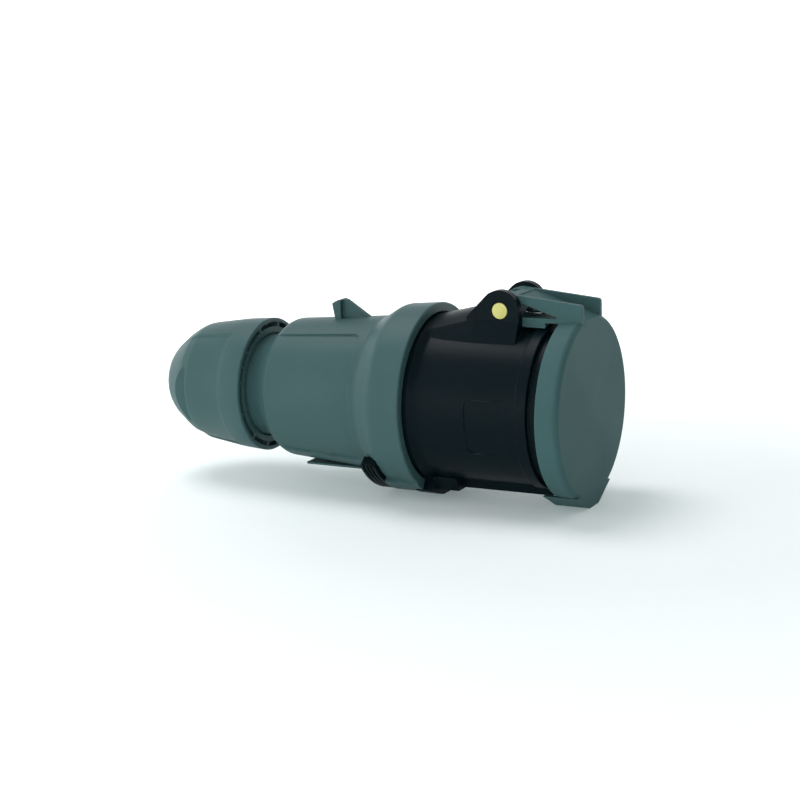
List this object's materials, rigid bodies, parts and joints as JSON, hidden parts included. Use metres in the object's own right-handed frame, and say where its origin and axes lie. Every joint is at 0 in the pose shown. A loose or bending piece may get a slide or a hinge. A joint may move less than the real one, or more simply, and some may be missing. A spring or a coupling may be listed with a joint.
{
  "type": "industrial power coupler",
  "caption": "Cable-mounted industrial power connector with a sprung hinged lid, keyed round sleeve, socket contacts, locking slide and clamping cable gland.",
  "frame": {"origin": "centre of the sleeve's mouth, on the connector's axis", "axes": "+X along the axis out of the mouth, towards the mating plug; +Z towards the lid's hinge"},
  "size_m": [0.2096, 0.0844, 0.0951],
  "materials": {
    "grey_plastic": "satin",
    "black_plastic": "satin",
    "carrier_plastic": "satin",
    "brass": "satin",
    "steel": "bright",
    "rubber": "matt"
  },
  "bodies": {
    "shell": {"front_sleeve": "black_plastic", "housing": "grey_plastic", "contact_carrier": "carrier_plastic", "carrier_back_plate": "carrier_plastic", "carrier_screws": "steel", "terminal_screws": "steel", "socket_springs": "steel", "earth_spring": "steel", "sleeve_seal": "rubber", "hinge_pin": "brass", "lid_spring": "steel", "gland_cage": "carrier_plastic", "gland_seal": "rubber", "contact_socket_earth": "brass", "contact_socket_line_1": "brass", "contact_socket_line_2": "brass", "contact_socket_line_3": "brass", "contact_socket_neutral": "brass"},
    "lid": {"lid": "grey_plastic", "lid_gasket": "rubber"},
    "slide": {"lock_slide": "black_plastic"},
    "ring": {"pressure_ring": "grey_plastic"},
    "nut": {"gland_nut": "grey_plastic"}
  },
  "joints": [
    {"name": "lid_hinge", "type": "hinge", "parent": "shell", "child": "lid", "pos_m": [-0.0303, 0, 0.0428], "axis": [0, -1, 0], "range_deg": [0, 110], "stiffness_Nm_per_rad": 0.12, "springref_deg": -40.11, "deforming": ["lid_spring"]},
    {"name": "lock_travel", "type": "slide", "parent": "shell", "child": "slide", "axis": [-1, 0, 0], "range_m": [0, 0.0045]},
    {"name": "ring_travel", "type": "slide", "parent": "shell", "child": "ring", "axis": [-1, 0, 0], "range_m": [0, 0.006]},
    {"name": "nut_turn", "type": "hinge", "parent": "ring", "child": "nut", "pos_m": [-0.18, 0, 0], "axis": [-1, 0, 0], "range_deg": [0, 720]}
  ],
  "couplings": [
    {"joint": "ring_travel", "follows": "nut_turn", "m_per_rad": 0.00047746}
  ]
}
